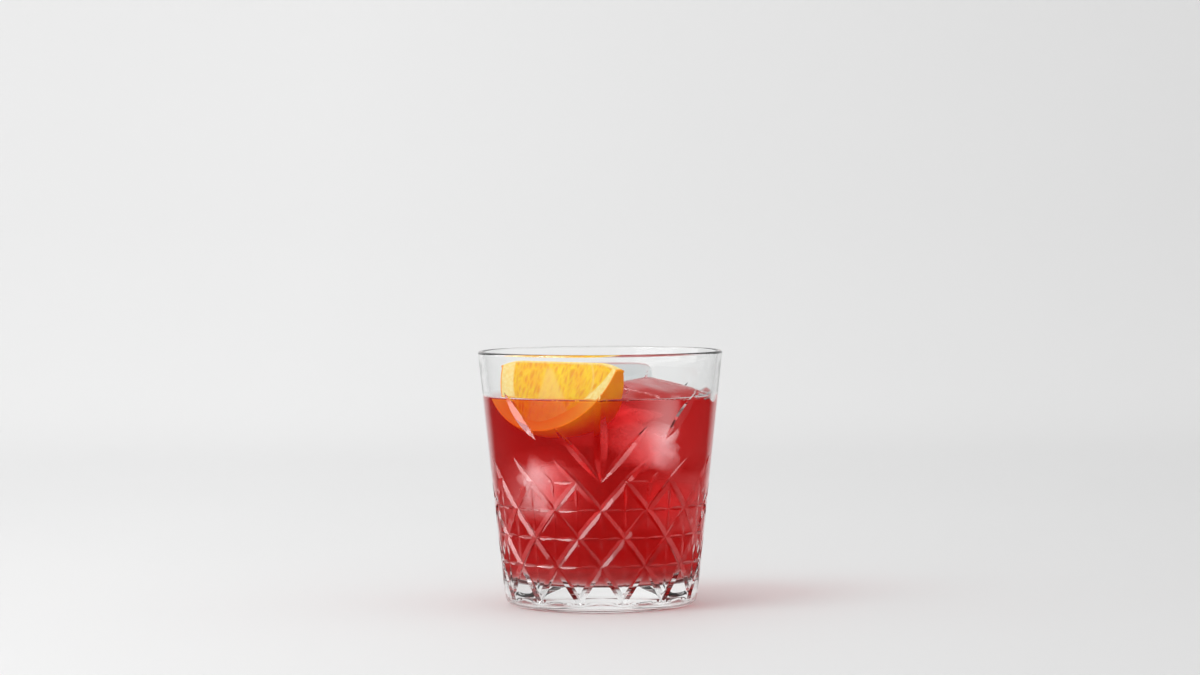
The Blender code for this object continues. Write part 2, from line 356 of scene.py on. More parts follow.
def mix_shaders(nodes, links, share, first, second, output="Material Output"):
    """Puts out the first shader, and as much of the second as share says."""
    mix = nodes.new("ShaderNodeMixShader")
    for source, socket in zip((share, first, second), mix.inputs):
        links.new(source, socket)
    links.new(mix.outputs["Shader"], nodes[output].inputs["Surface"])


def read_attribute(nodes, name, output="Fac"):
    node = nodes.new("ShaderNodeAttribute")
    node.attribute_name = name
    return node.outputs[output]


def combine(nodes, links, operation, first, second):
    """A socket with the sum, product or such of a socket and a second socket or number."""
    node = nodes.new("ShaderNodeMath")
    node.operation = operation
    node.use_clamp = True
    links.new(first, node.inputs[0])
    if isinstance(second, bpy.types.NodeSocket):
        links.new(second, node.inputs[1])
    else:
        node.inputs[1].default_value = second
    return node.outputs["Value"]


def let_lamps_through(nodes, links, shader, tint):
    """Rays from lamps and dull surfaces pass straight on, as do all where ice lies in drink.

    So do rays that have crossed the whole drink, where its far wall would only throw them back.
    """
    path = nodes.new("ShaderNodeLightPath")
    passes = combine(nodes, links, "MAXIMUM", path.outputs["Is Shadow Ray"],
                     path.outputs["Is Diffuse Ray"])
    passes = combine(nodes, links, "MAXIMUM", passes, read_attribute(nodes, "sunk"))
    crossed = combine(nodes, links, "GREATER_THAN", path.outputs["Transmission Depth"], FAR_WALL_DEPTH)
    passes = combine(nodes, links, "MAXIMUM", passes, crossed)
    clear = add_node(nodes, "ShaderNodeBsdfTransparent", Color=(*tint, 1.0))
    mix_shaders(nodes, links, passes, shader.outputs["BSDF"], clear.outputs["BSDF"])


def clear_material(name, tint, lamp_tint, ior, roughness, wave_size, wave_depth):
    """Clear stuff with a faintly uneven surface. It mirrors only where it is bare, not under drink."""
    material, nodes, links, shader = new_material(name)
    set_inputs(shader, Base_Color=(*tint, 1.0), Roughness=roughness, IOR=ior, Transmission_Weight=1.0)
    waves = local_node(nodes, links, "ShaderNodeTexNoise", Scale=1.0 / wave_size, Detail=2.0)
    bump = add_node(nodes, "ShaderNodeBump", Strength=1.0, Distance=wave_depth)
    links.new(waves.outputs["Fac"], bump.inputs["Height"])
    links.new(bump.outputs["Normal"], shader.inputs["Normal"])
    links.new(read_attribute(nodes, "bare", "Color"), shader.inputs["Specular Tint"])
    let_lamps_through(nodes, links, shader, lamp_tint)
    return material


def glass_material():
    return clear_material("clear_cut_glass", *GLASS_LOOK)


def ice_material():
    return clear_material("wet_ice", *ICE_LOOK)


def drink_material():
    material = clear_material("red_aperitif", *DRINK_LOOK)
    nodes = material.node_tree.nodes
    depth = add_node(nodes, "ShaderNodeVolumeAbsorption", Color=(*DRINK_RED, 1.0), Density=DRINK_DENSITY)
    material.node_tree.links.new(depth.outputs["Volume"], nodes["Material Output"].inputs["Volume"])
    return material


def frost_material():
    """A thin shell of the cloudy heart of ice: white haze, denser in streaks, with a translucent layer
    added on top that lets light through from behind and paints a glow, as together they give back more
    light than falls on them.
    """
    material, nodes, links, shader = new_material("ice_frost")
    set_inputs(shader, Base_Color=(*FROST_WHITE, 1.0), Roughness=FROST_ROUGHNESS)
    haze = local_node(nodes, links, "ShaderNodeTexNoise", Scale=FROST_STREAKS, Detail=3.0,
                      Roughness=0.5, Distortion=0.5)
    amount = add_ramp(nodes, links, haze.outputs["Fac"], FROST_STOPS)
    clear = nodes.new("ShaderNodeBsdfTransparent")
    glow = add_node(nodes, "ShaderNodeBsdfTranslucent", Color=(*FROST_GLOW, 1.0))
    haze_with_painted_glow = nodes.new("ShaderNodeAddShader")
    links.new(shader.outputs["BSDF"], haze_with_painted_glow.inputs[0])
    links.new(glow.outputs["BSDF"], haze_with_painted_glow.inputs[1])
    mix_shaders(nodes, links, amount, clear.outputs["BSDF"], haze_with_painted_glow.outputs["Shader"])
    return material


def orange_material():
    """Flesh with its juice sacs, pale skins and a painted sheen, cream pith and waxy peel, told apart by
    attributes of the mesh.
    """
    material, nodes, links, shader = new_material("orange_flesh_and_peel")
    fine = local_node(nodes, links, "ShaderNodeTexNoise", Scale=FINE_GRAIN, Detail=4.0)
    broad = local_node(nodes, links, "ShaderNodeTexNoise", Scale=BROAD_GRAIN, Detail=3.0)
    pores = local_node(nodes, links, "ShaderNodeTexVoronoi", Scale=PEEL_PORES)

    sacs = add_ramp(nodes, links, read_attribute(nodes, "sac"), SAC_STOPS)
    varied = mix_colours(nodes, links, ORANGE_VARIATION, sacs, broad.outputs["Color"], "OVERLAY")
    # The membrane colour paints the real skins between segments and also a painted highlight, the sheen,
    # into the flesh
    with_membrane_and_sheen = mix_colours(nodes, links, read_attribute(nodes, "membrane_and_sheen"), varied, MEMBRANE_AND_SHEEN_COLOUR)
    pith_tone = add_ramp(nodes, links, fine.outputs["Fac"], PITH_STOPS)
    stained = mix_colours(nodes, links, read_attribute(nodes, "soaked"), pith_tone, SOAKED_PITH)
    with_pith = mix_colours(nodes, links, read_attribute(nodes, "pith"), with_membrane_and_sheen, stained)
    peel_tone = add_ramp(nodes, links, broad.outputs["Fac"], PEEL_STOPS)
    colour = mix_colours(nodes, links, read_attribute(nodes, "peel"), with_pith, peel_tone)
    links.new(colour, shader.inputs["Base Color"])

    height = mix_colours(nodes, links, read_attribute(nodes, "peel"),
                         fine.outputs["Color"], pores.outputs["Distance"])
    bump = add_node(nodes, "ShaderNodeBump", Strength=0.6, Distance=GRAIN_DEPTH)
    links.new(height, bump.inputs["Height"])
    links.new(bump.outputs["Normal"], shader.inputs["Normal"])
    gloss = add_ramp(nodes, links, read_attribute(nodes, "pith"), ORANGE_GLOSS_STOPS)
    links.new(gloss, shader.inputs["Roughness"])
    set_inputs(shader, Specular_IOR_Level=0.08, Subsurface_Weight=0.25, Subsurface_Scale=0.003)
    return material


def share_along(nodes, links, vector, axis, stops):
    """A value read from stops by how far a vector points along an axis, from -1 to 1."""
    turned = nodes.new("ShaderNodeVectorMath")
    turned.operation = "NORMALIZE"
    part = nodes.new("ShaderNodeSeparateXYZ")
    half = add_node(nodes, "ShaderNodeMapRange", From_Min=-1.0)
    links.new(vector, turned.inputs[0])
    links.new(turned.outputs["Vector"], part.inputs["Vector"])
    links.new(part.outputs[axis], half.inputs["Value"])
    shares = [(0.5 + 0.5 * cosine, (share,) * 3) for cosine, share in stops]
    return add_ramp(nodes, links, half.outputs["Result"], shares)


def darkened_share(nodes, links, coordinate):
    """How much a ray's surroundings are darkened, from where or in which direction it meets them.

    What outer faces mirror is bright only straight behind and close to the foot, as if black flags
    stood beside the camera. What is seen through glass and drink is dimmer above, as in a room with
    a dark ceiling.
    """
    place = nodes.new("ShaderNodeTexCoord").outputs[coordinate]
    split = nodes.new("ShaderNodeSeparateXYZ")
    flat = nodes.new("ShaderNodeCombineXYZ")
    links.new(place, split.inputs["Vector"])
    links.new(split.outputs["X"], flat.inputs["X"])
    links.new(split.outputs["Y"], flat.inputs["Y"])
    flag = share_along(nodes, links, flat.outputs["Vector"], "Y", FLAG_STOPS)
    ceiling = share_along(nodes, links, place, "Z", CEILING_STOPS)
    distance = nodes.new("ShaderNodeVectorMath")
    distance.operation = "LENGTH"
    links.new(place, distance.inputs[0])
    beyond = add_node(nodes, "ShaderNodeMapRange", From_Min=FLAG_NEAR, From_Max=FLAG_FAR)
    links.new(distance.outputs["Value"], beyond.inputs["Value"])

    path = nodes.new("ShaderNodeLightPath")
    mirrored = combine(nodes, links, "SUBTRACT", path.outputs["Is Reflection Ray"],
                       path.outputs["Is Diffuse Ray"])
    outside = combine(nodes, links, "LESS_THAN", path.outputs["Transmission Depth"], 0.5)
    flagged = combine(nodes, links, "MULTIPLY", mirrored, outside)
    flagged = combine(nodes, links, "MULTIPLY", flagged, flag)
    flagged = combine(nodes, links, "MULTIPLY", flagged, beyond.outputs["Result"])
    crossed = combine(nodes, links, "GREATER_THAN", path.outputs["Transmission Depth"], FAR_WALL_DEPTH)
    passed = combine(nodes, links, "GREATER_THAN", path.outputs["Transparent Depth"], 0.5)
    crossed = combine(nodes, links, "MULTIPLY", crossed, passed)
    seen_through = combine(nodes, links, "SUBTRACT", crossed, path.outputs["Is Diffuse Ray"])
    seen_through = combine(nodes, links, "MULTIPLY", seen_through, ceiling)
    return combine(nodes, links, "MAXIMUM", flagged, seen_through)


def stage_material():
    """Pale paper with painted shading of its tone. Mirrored in the glass it is dim, as if black flags stood
    beside the camera.
    """
    material, nodes, links, shader = new_material("pale_floor")
    mottle = local_node(nodes, links, "ShaderNodeTexNoise", Scale=3.0, Detail=2.0)
    colour = add_ramp(nodes, links, mottle.outputs["Fac"], STAGE_MOTTLE)
    split = local_node(nodes, links, "ShaderNodeSeparateXYZ")
    # Painted shading: the tone is darkened step by step across the floor and up the backdrop
    for axis, from_min, from_max, to_min, to_max in STAGE_PAINTED_SHADING:
        painted_shading = add_node(nodes, "ShaderNodeMapRange", From_Min=from_min, From_Max=from_max,
                        To_Min=to_min, To_Max=to_max)
        links.new(split.outputs[axis], painted_shading.inputs["Value"])
        colour = mix_colours(nodes, links, 1.0, colour, painted_shading.outputs["Result"], "MULTIPLY")
    links.new(colour, shader.inputs["Base Color"])
    set_inputs(shader, Roughness=0.7)
    black = add_node(nodes, "ShaderNodeEmission", Strength=0.0)
    dark = darkened_share(nodes, links, "Object")
    mix_shaders(nodes, links, dark, shader.outputs["BSDF"], black.outputs["Emission"])
    return material


def mark_faces(piece, **tests):
    """Marks each face by its middle and its normal. bare: air outside it. sunk: ice meets drink."""
    faces = piece.data.polygons
    middles = np.empty(3 * len(faces))
    normals = np.empty(3 * len(faces))
    faces.foreach_get("center", middles)
    faces.foreach_get("normal", normals)
    for name, test in tests.items():
        marked = test(middles.reshape(-1, 3), normals.reshape(-1, 3))
        attribute = piece.data.attributes.new(name, "FLOAT", "FACE")
        attribute.data.foreach_set("value", marked.astype(float))


def signed_volume(points, faces):
    first, second, third = (points[faces[:, corner]] for corner in range(3))
    return float(np.einsum("ij,ij->i", first, np.cross(second, third)).sum()) / 6.0


def add_object(name, data):
    added = bpy.data.objects.new(name, data)
    bpy.context.collection.objects.link(added)
    return added


def mesh_piece(name, points, faces, material, smooth_angle=SMOOTH_ANGLE):
    """A smooth shaded object from arrays of points and triangles, with its faces pointing out."""
    if signed_volume(points, faces) < 0.0:
        faces = faces[:, ::-1]
    mesh = bpy.data.meshes.new(name)
    mesh.from_pydata(points.tolist(), [], faces.tolist())
    mesh.materials.append(material)
    mesh.shade_smooth()
    mesh.set_sharp_from_angle(angle=smooth_angle)
    return add_object(name, mesh)


def bmesh_arrays(shape):
    """A triangulated bmesh's points and faces as arrays. The bmesh is freed."""
    bmesh.ops.triangulate(shape, faces=shape.faces)
    points = np.array([vert.co[:] for vert in shape.verts])
    faces = np.array([[vert.index for vert in face.verts] for face in shape.faces])
    shape.free()
    return points, faces


def band_triangles(rows, columns):
    """Triangles of a closed band of rings."""
    row, column = np.meshgrid(np.arange(rows - 1), np.arange(columns), indexing="ij")
    following = (column + 1) % columns
    low, low_next = row * columns + column, row * columns + following
    high, high_next = low + columns, low_next + columns
    first = np.stack([low, low_next, high_next], axis=-1)
    second = np.stack([low, high_next, high], axis=-1)
    return np.concatenate([first.reshape(-1, 3), second.reshape(-1, 3)])


def capped_rings(rings):
    """Points and triangles of rings closed by a middle point at either end."""
    rows, columns = rings.shape[:2]
    points = np.concatenate([rings.reshape(-1, 3), rings[0].mean(0)[None], rings[-1].mean(0)[None]])
    start, end = rows * columns, rows * columns + 1
    index = np.arange(columns)
    following = (index + 1) % columns
    last = (rows - 1) * columns
    first_cap = np.stack([np.full(columns, start), following, index], axis=-1)
    last_cap = np.stack([last + index, last + following, np.full(columns, end)], axis=-1)
    return points, np.concatenate([band_triangles(rows, columns), first_cap, last_cap])


def turned_rings(profile, columns):
    """Rings about the Z axis from radius and height pairs. Angle 0 is at the front, -Y."""
    angles = np.radians(np.arange(columns) * 360.0 / columns)
    radii = np.array([radius for radius, _ in profile])[:, None] * np.ones(columns)
    heights = np.array([height for _, height in profile])[:, None] * np.ones(columns)
    return np.stack([radii * np.sin(angles), -radii * np.cos(angles), heights], axis=-1)


def outer_cone(height):
    return FOOT_RADIUS + (RIM_RADIUS - FOOT_RADIUS) * height / GLASS_HEIGHT


def inner_cone(height):
    share = (height - FLOOR_HEIGHT) / (GLASS_HEIGHT - FLOOR_HEIGHT)
    return outer_cone(height) - FLOOR_WALL - (RIM_WALL - FLOOR_WALL) * share


def row_heights():
    """Heights of the lattice's rows of crossings, lowest first."""
    return [LOW_TIP_HEIGHT] + [TOP_ROW_HEIGHT - ROW_SPACING * step for step in (3, 2, 1, 0)]


def lattice_cuts():
    """The diagonals, and the thin cross of leaf cuts in each diamond, from 0 to 90 degrees."""
    cuts = []
    rows = row_heights()
    cells = COLUMNS // 2
    for band, (low, high) in enumerate(zip(rows, rows[1:])):
        odd_below = band % 2 == 0
        for cell in range(cells):
            rises = (cell % 2 == 1) == odd_below
            start, end = (cell, cell + 1) if rises else (cell + 1, cell)
            cuts.append((start * HALF_PITCH, low, end * HALF_PITCH, high, LATTICE_WIDTH, None))
        for column in range(cells + 1):
            open_ended = band in (0, len(rows) - 2) and column % 2 == 0
            if not open_ended:
                angle = column * HALF_PITCH
                cuts.append((angle, low, angle, high, STAR_WIDTH, 0.5))
    for height in rows[1:-1]:
        for cell in range(cells):
            cuts.append((cell * HALF_PITCH, height, (cell + 1) * HALF_PITCH, height, STAR_WIDTH, 0.5))
    return cuts


CUTS = lattice_cuts() + list(LEAVES)


def cut_widths(share, width, widest):
    """Width along a cut: even in the lattice, pointed at both ends of a leaf."""
    if widest is None:
        return np.full(share.shape, width)
    reach = (share - widest) / np.where(share > widest, 1.0 - widest, widest)
    return width * (1.0 - reach * reach)


def groove_depths(angles, heights):
    """Depth of the cuts below the cone at points from 0 to 90 degrees."""
    deepest = np.zeros(len(angles))
    for cut in CUTS:
        start_angle, start_height, end_angle, end_height, width, widest = cut
        radius = outer_cone(0.5 * (start_height + end_height))
        along = math.radians(end_angle - start_angle) * radius
        rise = end_height - start_height
        point_along = np.radians(angles - start_angle) * radius
        point_rise = heights - start_height
        share = (point_along * along + point_rise * rise) / (along * along + rise * rise)
        share = np.clip(share, 0.0, 1.0)
        distance = np.hypot(point_along - along * share, point_rise - rise * share)
        half_width = 0.5 * cut_widths(share, width, widest)
        deepest = np.maximum(deepest, (half_width - distance) * GROOVE_STEEPNESS)
    return deepest


def cut_creases(cut):
    """The middle line and the outline of one cut, as lines of (angle, height) points."""
    start_angle, start_height, end_angle, end_height, width, widest = cut
    radius = outer_cone(0.5 * (start_height + end_height))
    along = math.radians(end_angle - start_angle) * radius
    rise = end_height - start_height
    length = math.hypot(along, rise)
    steps = max(4, round(length / CREASE_STEP))
    shares = np.linspace(0.0, 1.0, steps + 1)
    half_widths = 0.5 * cut_widths(shares, width, widest)
    lines = [(shares, 0.0 * shares), (shares, half_widths), (shares, -half_widths)]
    if widest is None:
        turns = np.linspace(-0.5 * math.pi, 0.5 * math.pi, CAP_STEPS + 1)
        bulge, side = 0.5 * width / length * np.cos(turns), 0.5 * width * np.sin(turns)
        lines += [(1.0 + bulge, side), (-bulge, side)]
    placed = []
    for share, side in lines:
        angle = start_angle + np.degrees((along * share - rise / length * side) / radius)
        height = start_height + rise * share + along / length * side
        placed.append(np.stack([angle, height], axis=-1))
    return placed


def crossing_creases():
    """Where two grooves of the lattice cross, their walls meet in a level and an upright line."""
    lines = []
    reach = 0.5 * LATTICE_WIDTH
    for row, height in enumerate(row_heights()):
        radius = outer_cone(height)
        step_along = math.radians(HALF_PITCH) * radius
        length = math.hypot(step_along, ROW_SPACING)
        level = math.degrees(reach * length / ROW_SPACING / radius)
        upright = reach * length / step_along
        for column in range(row % 2 == 0, COLUMNS // 2 + 1, 2):
            angle = column * HALF_PITCH
            lines.append(np.array([(angle - level, height), (angle, height), (angle + level, height)]))
            lines.append(np.array([(angle, height - upright), (angle, height),
                                   (angle, height + upright)]))
    return lines


def quarter_wall():
    """Triangles of a quarter of the cut wall, with an edge along every crease, as (angle, height)."""
    bottom, top = FOOT_ROUNDING, FAN_TOP
    scale = outer_cone(0.5 * (bottom + top)) * math.pi / 180.0
    points, edges = [], []

    def add_line(line):
        inside = (line[:, 0] > -EDGE_SLACK) & (line[:, 0] < 90.0 + EDGE_SLACK)
        for index in range(len(line) - 1):
            if inside[index] and inside[index + 1]:
                edges.append((len(points) + index, len(points) + index + 1))
        clipped = np.clip(line[:, 0], 0.0, 90.0)
        points.extend(zip(clipped, line[:, 1]))

    for cut in CUTS:
        for line in cut_creases(cut):
            add_line(line)
    for line in crossing_creases():
        add_line(line)
    ring = np.linspace(0.0, 90.0, RING_COLUMNS // 4 + 1)
    for height in (bottom, top):
        add_line(np.stack([ring, np.full(len(ring), height)], axis=-1))
    levels = np.linspace(bottom, top, round((top - bottom) / WALL_GRID) + 1)[1:-1]
    between = np.linspace(0.0, 90.0, round(90.0 * scale / WALL_GRID) + 1)
    creases = np.array(points) * (scale, 1.0)
    for height in levels:
        for angle in between:
            gap = np.hypot(creases[:, 0] - angle * scale, creases[:, 1] - height).min()
            if gap > CREASE_CLEARANCE * WALL_GRID:
                points.append((angle, height))
    flat = [Vector((angle * scale / MM, height / MM)) for angle, height in points]
    found, _, faces, *_ = geometry.delaunay_2d_cdt(flat, edges, [], 0, TRIANGULATION_MERGE)
    placed = np.array([(point.x * MM / scale, point.y * MM) for point in found])
    placed[:, 0] = np.clip(placed[:, 0], 0.0, 90.0)
    return placed, np.array(faces)


def cut_wall():
    """The whole cut wall: the quarter and its mirror images."""
    quarter, faces = quarter_wall()
    angles, heights = quarter[:, 0], quarter[:, 1]
    radii = outer_cone(heights) - groove_depths(angles, heights)
    points, triangles = [], []
    for image, turned in enumerate((angles, 180.0 - angles, 180.0 + angles, 360.0 - angles)):
        turn = np.radians(turned)
        points.append(np.stack([radii * np.sin(turn), -radii * np.cos(turn), heights], axis=-1))
        triangles.append((faces if image % 2 == 0 else faces[:, ::-1]) + image * len(quarter))
    return np.concatenate(points), np.concatenate(triangles)


def foot_profile():
    """The flat foot and its rounded edge."""
    points = [(DISC_SHARE * FOOT_RADIUS, 0.0)]
    for turn in np.linspace(0.0, 0.5 * math.pi, ARC_STEPS):
        height = FOOT_ROUNDING * (1.0 - math.cos(turn))
        setback = FOOT_ROUNDING * (1.0 - math.sin(turn))
        points.append((outer_cone(height) - setback, height))
    return points


def lip_profile():
    """The half round lip, from outside to inside."""
    lip_radius = 0.5 * RIM_WALL
    points = []
    for turn in np.linspace(0.0, math.pi, 2 * ARC_STEPS):
        height = GLASS_HEIGHT - lip_radius + lip_radius * math.sin(turn)
        points.append((RIM_RADIUS - lip_radius + lip_radius * math.cos(turn), height))
    return points


def inner_profile(grow):
    """Down the inner wall's foot and round onto the floor, set out into the glass by grow."""
    floor = FLOOR_HEIGHT - grow
    rounding = FLOOR_ROUNDING + grow
    points = []
    for turn in np.linspace(0.0, 0.5 * math.pi, ARC_STEPS):
        height = floor + rounding * (1.0 - math.sin(turn))
        points.append((inner_cone(height) + grow - rounding * (1.0 - math.cos(turn)), height))
    points.append((DISC_SHARE * inner_cone(floor), floor))
    return points


def glass_is_bare(middles, normals):
    """0 where the wall touches the drink, little on the dry inner wall, and 1 outside."""
    radii = np.hypot(middles[:, 0], middles[:, 1])
    heights = middles[:, 2]
    within = (radii < inner_cone(heights) + WALL_REACH) & (heights > FLOOR_HEIGHT - WALL_REACH)
    return np.where(within, np.where(heights < WET_HEIGHT, 0.0, DRY_WALL_GLOSS), 1.0)


def above_drink(middles, normals):
    return middles[:, 2] > LIQUID_LEVEL


def below_drink(middles, normals):
    return middles[:, 2] < LIQUID_LEVEL


def closed_arrays(parts):
    """Joins sheets of triangles whose rims meet, and turns their faces to point out."""
    shape = bmesh.new()
    for points, faces in parts:
        verts = [shape.verts.new(point) for point in points]
        for face in faces:
            shape.faces.new([verts[index] for index in face])
    bmesh.ops.remove_doubles(shape, verts=shape.verts, dist=MERGE_DISTANCE)
    bmesh.ops.dissolve_degenerate(shape, edges=shape.edges, dist=MERGE_DISTANCE)
    bmesh.ops.recalc_face_normals(shape, faces=shape.faces)
    shape.verts.index_update()
    return bmesh_arrays(shape)


def ring_sheet(profile, close_first, close_last):
    """A turned band of triangles, closed by a middle point at either end."""
    points, faces = capped_rings(turned_rings(profile, RING_COLUMNS))
    count = len(profile) * RING_COLUMNS
    if not close_first:
        faces = faces[~(faces == count).any(axis=1)]
    if not close_last:
        faces = faces[~(faces == count + 1).any(axis=1)]
    return points, faces


def make_glass():
    """The foot, the cut wall, and the bowl from the plain wall over the lip down to the floor."""
    lip_end = GLASS_HEIGHT - 0.5 * RIM_WALL
    rounding_top = FLOOR_HEIGHT + FLOOR_ROUNDING
    plain_wall = [(outer_cone(height), height) for height in np.linspace(FAN_TOP, lip_end, PLAIN_ROWS)[:-1]]
    dry = np.linspace(lip_end, WET_HEIGHT, DRY_ROWS)[1:]
    wet = np.linspace(WET_HEIGHT, rounding_top, WET_ROWS)[1:-1]
    inner_wall = [(inner_cone(height), height) for height in (*dry, *wet)]
    foot = ring_sheet(foot_profile(), True, False)
    bowl = ring_sheet(plain_wall + lip_profile() + inner_wall + inner_profile(0.0), False, True)
    points, faces = closed_arrays([foot, cut_wall(), bowl])
    glass = mesh_piece("cut_glass", points, faces, glass_material(), CUT_ANGLE)
    mark_faces(glass, bare=glass_is_bare)
    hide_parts("glass")


def ice_arrays(ice, grow):
    """A melted, softly uneven cube, grown on every side and divided at the drink's level."""
    middle, size, turns = ice
    shape = bmesh.new()
    bmesh.ops.create_cube(shape, size=2.0)
    bmesh.ops.subdivide_edges(shape, edges=shape.edges, cuts=ICE_STEPS - 1, use_grid_fill=True)
    for vert in shape.verts:
        spread = [math.sin(0.5 * math.pi * value) for value in vert.co]
        length = sum(abs(value) ** ICE_SQUARENESS for value in spread) ** (1.0 / ICE_SQUARENESS)
        point = Vector([value / length for value in spread])
        for axis in range(3):
            point[axis] *= 0.5 * size[axis] + grow
        worn = ICE_WEAR * (noise.noise((point + middle) / ICE_WEAR_SIZE) - 1.0)
        vert.co = point * (1.0 + worn / point.length)
    place = Matrix.Translation(middle)
    for axis, turn in zip("ZYX", reversed(turns)):
        place = place @ Matrix.Rotation(math.radians(turn), 4, axis)
    shape.transform(place)
    bmesh.ops.bisect_plane(shape, geom=shape.verts[:] + shape.edges[:] + shape.faces[:],
                           plane_co=(0.0, 0.0, LIQUID_LEVEL), plane_no=(0.0, 0.0, 1.0))
    shape.verts.index_update()
    return bmesh_arrays(shape)


def frost_arrays(ice, heart):
    """Lumpy shells of haze one inside another, so that the heart has no hard edge."""
    turns = ice[2]
    middle, half_size = heart
    shape = bmesh.new()
    for shell in range(FROST_SHELLS):
        reach = (shell + 1.0) / FROST_SHELLS
        made = bmesh.ops.create_icosphere(shape, subdivisions=FROST_DETAIL, radius=1.0)
        for vert in made["verts"]:
            spot = vert.co * FROST_LUMP_RATE + middle * FROST_LUMP_SHIFT
            lump = 1.0 + FROST_LUMPS * noise.noise(spot)
            vert.co = Vector([vert.co[axis] * lump * reach * half_size[axis] for axis in range(3)])
    shape.transform(Matrix.Translation(middle) @ Matrix.Rotation(math.radians(turns[2]), 4, "Z"))
    shape.verts.index_update()
    return bmesh_arrays(shape)


def make_ice():
    """The two cubes that reach out of the drink, those sunk in it, and the haze of each."""
    clear = ice_material()
    hazy = frost_material()
    cubes = {"clear_ice_front": ICE_FRONT, "clear_ice_back": ICE_BACK}
    cubes.update(SUNK_ICE)
    stands_for = {"clear_ice_front": "ice_front", "clear_ice_back": "ice_back"}
    for name, ice in cubes.items():
        cube = mesh_piece(name, *ice_arrays(ice, 0.0), clear)
        mark_faces(cube, bare=above_drink, sunk=below_drink)
        heart = mesh_piece(name + "_haze", *frost_arrays(ice, HEARTS[name]), hazy)
        if name in stands_for:
            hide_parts(stands_for[name])
    return list(cubes.values())


def wedge_grid(grow, stations, face_steps, peel_steps):
    """Rings round the wedge, with each point's place along, face (-1, 0 or 1) and depth."""
    half_length = WEDGE_HALF_LENGTH + grow
    front, back = -WEDGE_FRONT_TILT, -WEDGE_BACK_TILT
    turns = np.linspace(0.0, math.pi, stations + 1)
    along = -half_length * np.cos(turns)
    past = np.abs(along) - (WEDGE_HALF_LENGTH - WEDGE_ROUNDED_LENGTH)
    start = WEDGE_CORE + WEDGE_ROUNDED_DROP * (np.maximum(past, 0.0) / WEDGE_ROUNDED_LENGTH) ** 2
    reach = np.maximum((WEDGE_DEPTH + grow) * np.sin(turns), start + WEDGE_END + grow)
    down_face = np.linspace(0.0, 1.0, face_steps + 1)
    round_peel = np.linspace(0.0, 1.0, peel_steps + 1)[1:-1]
    sides = np.concatenate([np.full(face_steps + 1, -1), np.zeros(peel_steps - 1),
                            np.full(face_steps + 1, 1)])
    shares = np.concatenate([down_face, np.ones(peel_steps - 1), down_face[::-1]])
    angles = np.concatenate([np.full(face_steps + 1, front), front + (back - front) * round_peel,
                             np.full(face_steps + 1, back)])
    distance = start[:, None] + (reach - start)[:, None] * shares
    across = np.sin(angles) * distance + np.cos(angles) * sides * grow
    down = np.cos(angles) * distance - np.sin(angles) * sides * grow
    down = down - grow * (shares == 0.0)
    points = np.stack([along[:, None] * np.ones(len(sides)), across, WEDGE_CORE - down], axis=-1)
    return points, sides, angles, distance, start


def wedge_place():
    return Matrix.Translation(WEDGE_MIDDLE) @ Matrix.Rotation(WEDGE_TURN, 4, "Z")


def smooth_step(value, low, high):
    share = np.clip((value - low) / (high - low), 0.0, 1.0)
    return share * share * (3.0 - 2.0 * share)


def skins_and_painted_sheen(along, distance):
    """How near a point of a cut face is to the skins between segments, and how strong the painted sheen, a
    highlight in its colour, is there.
    """
    bulge = SKIN_PLACE + SKIN_BULGE * np.sin(np.clip(distance / SKIN_DEPTH, 0.0, 1.0) * math.pi)
    line = np.exp(-((along - bulge) / SKIN_HALF_THICKNESS) ** 2)
    left_edge = smooth_step(along, *SHEEN_LEFT)
    slanted = along - SHEEN_RIGHT_SLOPE * (distance - SHEEN_RIGHT_START)
    right_edge = 1.0 - smooth_step(slanted, *SHEEN_RIGHT)
    sheen = SHEEN_STRENGTH * left_edge * right_edge * smooth_step(distance, *SHEEN_TOP)
    return np.maximum(SKIN_STRENGTH * line, sheen)


def wedge_parts(along, distance, start, on_face):
    """Shares of pith, peel, and of the skins with their painted sheen, at each point of the wedge."""
    round_left = np.hypot(along / FLESH_LEFT_LENGTH, distance / FLESH_DEPTH)
    power = FLESH_RIGHT_POWER
    straight_right = (np.abs(along / FLESH_RIGHT_LENGTH) ** power
                      + (distance / FLESH_DEPTH) ** power) ** (1.0 / power)
    inside = 1.0 - np.where(along < 0.0, round_left, straight_right)
    pith = 1.0 - smooth_step(inside * FLESH_DEPTH, *PITH_BLEND)
    core_strip = 1.0 - smooth_step(distance - start[:, None], *CORE_STRIP)
    skin = np.hypot(along / WEDGE_HALF_LENGTH, distance / WEDGE_DEPTH)
    peel = np.where(on_face, smooth_step(skin, *PEEL_BLEND), 1.0)
    return np.maximum(pith, core_strip), peel, skins_and_painted_sheen(along, distance)


def juice_sacs(along, distance, sides, pith):
    """1 along the seams between the juice sacs, 0 in their middles and off the flesh."""
    sac = np.zeros(along.shape)
    lean = along * (1.0 + VESICLE_LEAN * distance / FLESH_DEPTH)
    for index in np.ndindex(along.shape):
        if sides[index[1]] != 0 and pith[index] < 1.0:
            spot = Vector((lean[index] / VESICLE_WIDTH, distance[index] / VESICLE_LENGTH,
                           3.0 * sides[index[1]]))
            spot.x += VESICLE_WANDER * noise.noise(spot * VESICLE_WANDER_SIZE)
            near, second = noise.voronoi(spot)[0][:2]
            sac[index] = 1.0 - min(second - near, VESICLE_RIM) / VESICLE_RIM
    return sac


def placed_wedge(rings):
    """Points and triangles of the wedge's rings, set in their place in the glass."""
    points, faces = capped_rings(rings)
    turned = np.array(wedge_place())
    return points @ turned[:3, :3].T + turned[:3, 3], faces


